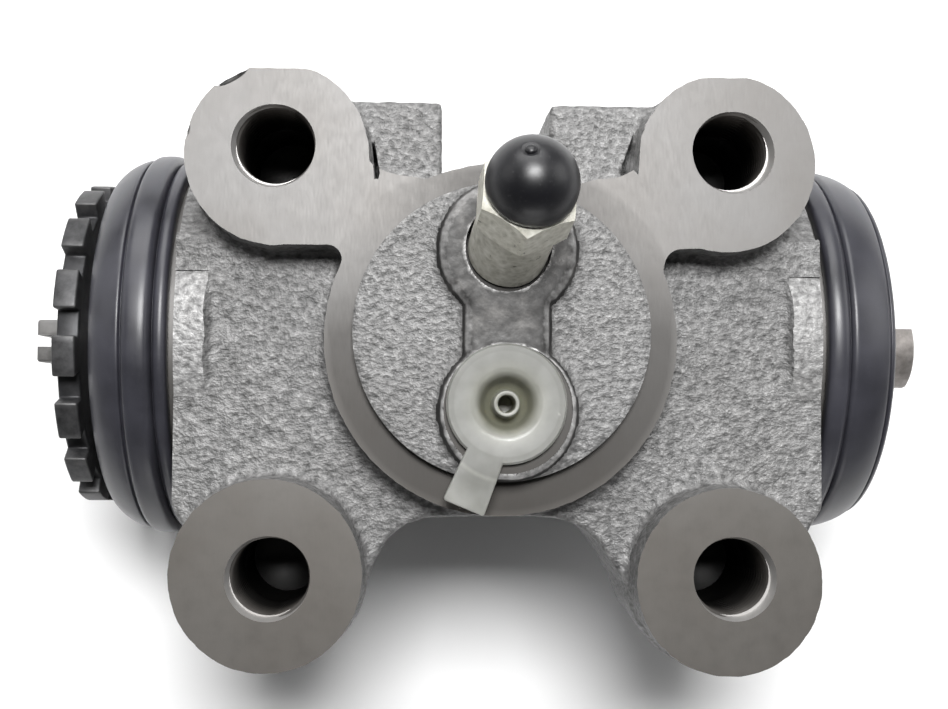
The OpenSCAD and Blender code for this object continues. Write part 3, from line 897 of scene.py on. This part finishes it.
# ---------------------------------------------------------------- bleed screw and cap
def make_bleeder():
    # round shank with a tapered tip and a rolled edge
    prof = [(0, -17.2), (2.0, -17.2), (4.94, -15.4), (4.94, -3.0), (5.6, -2.65), (6.1, -2.6), (6.45, -2.2), (6.5, -1.6), (6.5, 10.2), (6.5, 11.4), (0, 11.4)]
    o = obj_from("bleed_screw", *ring_lathe(prof, 72, None), ZINC)
    fix_normals(o)
    hexa = [(7.0 / math.cos(math.pi / 6) * math.cos(math.pi / 3 * k + math.radians(24)), 7.0 / math.cos(math.pi / 6) * math.sin(math.pi / 3 * k + math.radians(24))) for k in range(6)]
    h = obj_from("h", *prism(hexa, 11.0, 18.0), ZINC)
    fix_normals(h)
    t = obj_from("t", *ring_lathe([(0, 11), (7.3, 11), (8.15, 11.7), (8.3, 12.4), (8.3, 16.6), (8.05, 17.2), (7.1, 18), (0, 18)], 96, None), ZINC)
    fix_normals(t)
    cut(h, t, "INTERSECT")
    cut(o, h, "UNION")
    t = obj_from("t", *ring_lathe([(0, 17.5), (3.2, 17.5), (3.2, 22.6), (2.6, 23.6), (0, 23.6)], 48, None), ZINC)
    fix_normals(t)
    cut(o, t, "UNION")
    t = obj_from("t", *ring_lathe([(0, -10), (1.2, -10), (1.2, 30), (0, 30)], 24, None), ZINC)
    fix_normals(t)
    cut(o, t)
    o.data.transform(BLEED_M)
    shade(o, 28)
    to_metres(o)
    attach(o, "bleeder")
    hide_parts("bleeder_screw")

    dome = [(7.05 * math.cos(math.radians(a)), 19.6 + 7.05 * math.sin(math.radians(a))) for a in range(-6, 83, 4)]
    prof = [(3.27, 18.15), (6.3, 18.15), (6.8, 18.3)] + dome + [(0, 26.65), (0, 24), (3.0, 24), (3.27, 23.7)]
    c = obj_from("bleeder_dust_cap", *ring_lathe(prof, 96, None), CAPR)
    fix_normals(c)
    # moulding nub in a shallow dimple, a little off the axis
    m = Matrix.Translation((0, 0, 19.6)) @ Matrix.Rotation(math.radians(-12), 4, "Y") @ Matrix.Rotation(math.radians(-13), 4, "X")
    cut(c, obj_from("t", *ring_lathe([(0, 6.78), (1.2, 6.86), (1.7, 7.1), (1.7, 8), (0, 8)], 40, m), CAPR))
    t = obj_from("t", *ring_lathe([(0, 6.3), (0.95, 6.3), (0.92, 6.95), (0.72, 7.25), (0.4, 7.38), (0, 7.42)], 32, m), CAPR)
    cut(c, t, "UNION")
    c.data.transform(BLEED_M)
    shade(c, 50)
    to_metres(c)
    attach(c, "cap")
    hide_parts("bleeder_cap")


make_bleeder()


# ---------------------------------------------------------------- inlet plug with its tab
def make_plug():
    z = 5.3
    prof = [(0, -2.6), (5.0, -2.6), (5.38, -2.2), (5.38, z), (9.3, z), (9.7, z + 0.35), (9.7, z + 1.1), (9.35, z + 1.5), (6.0, z + 1.5), (5.2, z + 1.35),
            (4.6, z + 0.9), (4.15, z + 0.1), (3.7, z - 1.1), (3.2, z - 1.9), (2.6, z - 2.1), (2.3, z - 1.9), (2.2, z - 1.2), (2.15, z + 0.8), (2.0, z + 1.1),
            (1.75, z + 1.15), (1.5, z + 1.05), (1.38, z + 0.7), (1.3, -1.2), (0, -1.4)]
    o = obj_from("inlet_transit_plug", *ring_lathe(prof, 96, None), PLUG)
    fix_normals(o)
    w0, w, r = 3.0, 3.5, 0.45
    tab = [(6.0, -w0), (17.9 - r, -w)] + arc(17.9 - r, -w + r, r, -90, 0, 6)[1:] + arc(17.9 - r, w - r, r, 0, 90, 6) + [(6.0, w0)]
    t = obj_from("t", *prism(tab, z, z + 1.5), PLUG)
    fix_normals(t)
    bevel_sharp(t, 0.25, 2, 40)
    t.data.transform(Matrix.Rotation(math.radians(-112.5), 4, "Z"))
    cut(o, t, "UNION")
    o.data.transform(Matrix.Translation((0, -7.2, 0)))
    shade(o, 40)
    to_metres(o)
    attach(o, "plug")
    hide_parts("inlet_plug")


make_plug()


# ---------------------------------------------------------------- carried-over CAD nodes
def finish_node(name, mat, width=0.25):
    o = nodes[name]
    o.data.materials.clear()
    o.data.materials.append(mat)
    b = o.modifiers.new("edge", "BEVEL")
    b.width = width * 0.001
    b.segments = 2
    b.limit_method = "ANGLE"
    b.angle_limit = math.radians(35)


for n in ("left_piston", "right_piston"):
    finish_node(n, PISTON, 0.2)
for n in ("left_piston_cup", "right_piston_cup", "adjuster_seal_ring"):
    nodes[n].data.materials.clear()
    nodes[n].data.materials.append(SEAL)
for n in ("left_cup_expander", "right_cup_expander"):
    nodes[n].data.materials.clear()
    nodes[n].data.materials.append(SPRING)
nodes["inlet_seat"].data.materials.clear()
nodes["inlet_seat"].data.materials.append(SEAT)


# ---------------------------------------------------------------- floor, light and camera
def mat_floor():
    m, nt, p = material("floor_paper")
    v = coords(nt)
    f = noise_tex(nt, v, 40, 3, 0.5)
    nt.links.new(ramp(nt, f, [(0.3, (0.90, 0.90, 0.90)), (0.7, (0.93, 0.93, 0.93))]), p.inputs["Base Color"])
    p.inputs["Roughness"].default_value = 0.85
    return m


fl = obj_from("floor", [(-4, -4, FLOOR_Z * 0.001), (4, -4, FLOOR_Z * 0.001), (4, 4, FLOOR_Z * 0.001), (-4, 4, FLOOR_Z * 0.001)], [(0, 1, 2, 3)], mat_floor())

world = bpy.data.worlds.new("studio")
scene.world = world
world.use_nodes = True
bg = next(n for n in world.node_tree.nodes if n.type == "BACKGROUND")
wt = world.node_tree
sky = node(wt, "ShaderNodeTexCoord")
up = node(wt, "ShaderNodeSeparateXYZ")
wt.links.new(sky.outputs["Generated"], up.inputs[0])
wt.links.new(ramp(wt, up.outputs["Z"], [(0.0, 0.55), (0.35, 0.42), (0.6, 0.16), (0.85, 0.04), (1.0, 0.02)]), bg.inputs["Color"])
bg.inputs["Strength"].default_value = 0.32


def area(name, loc, target, size, power, size_y=None):
    d = bpy.data.lights.new(name, "AREA")
    d.energy = power
    d.size = size
    if size_y:
        d.shape = "RECTANGLE"
        d.size_y = size_y
    o = bpy.data.objects.new(name, d)
    scene.collection.objects.link(o)
    o.location = loc
    o.rotation_mode = "QUATERNION"
    o.rotation_quaternion = (Vector(target) - Vector(loc)).to_track_quat("-Z", "Y")
    return o


area("key_top", (0.0, 0.22, 0.64), (0, 0.0, -0.05), 0.26, 6.8, 0.20)
area("back_card", (-0.1, 0.80, 0.45), (0, 0, -0.04), 0.9, 6.0, 0.45)
area("side_left", (-0.85, 0.35, 0.40), (0, 0, -0.04), 0.6, 1.2)
area("side_right", (0.85, 0.30, 0.40), (0, 0, -0.04), 0.6, 2.4)
area("front_low", (0.05, -0.95, 0.08), (0, 0, 0.0), 0.7, 1.0, 0.2)

cam = bpy.data.cameras.new("camera")
cam.sensor_fit = "HORIZONTAL"
cam.sensor_width = 36.0
cam.lens = 36.0 * 1237.0 / 948.0
cam.clip_start, cam.clip_end = 0.01, 20.0
co = bpy.data.objects.new("camera", cam)
scene.collection.objects.link(co)


def rot(axis, deg):
    return Matrix.Rotation(math.radians(deg), 3, axis)


R = rot("Z", -0.35) @ rot("X", -2.83) @ rot("Y", 2.53)
t = Vector((5.0, -1.0, -204.0))
loc = -(R.transposed() @ t) * 0.001
co.matrix_world = Matrix.Translation(loc) @ R.transposed().to_4x4()
scene.camera = co

scene.view_settings.view_transform = "Standard"
scene.view_settings.look = "None"
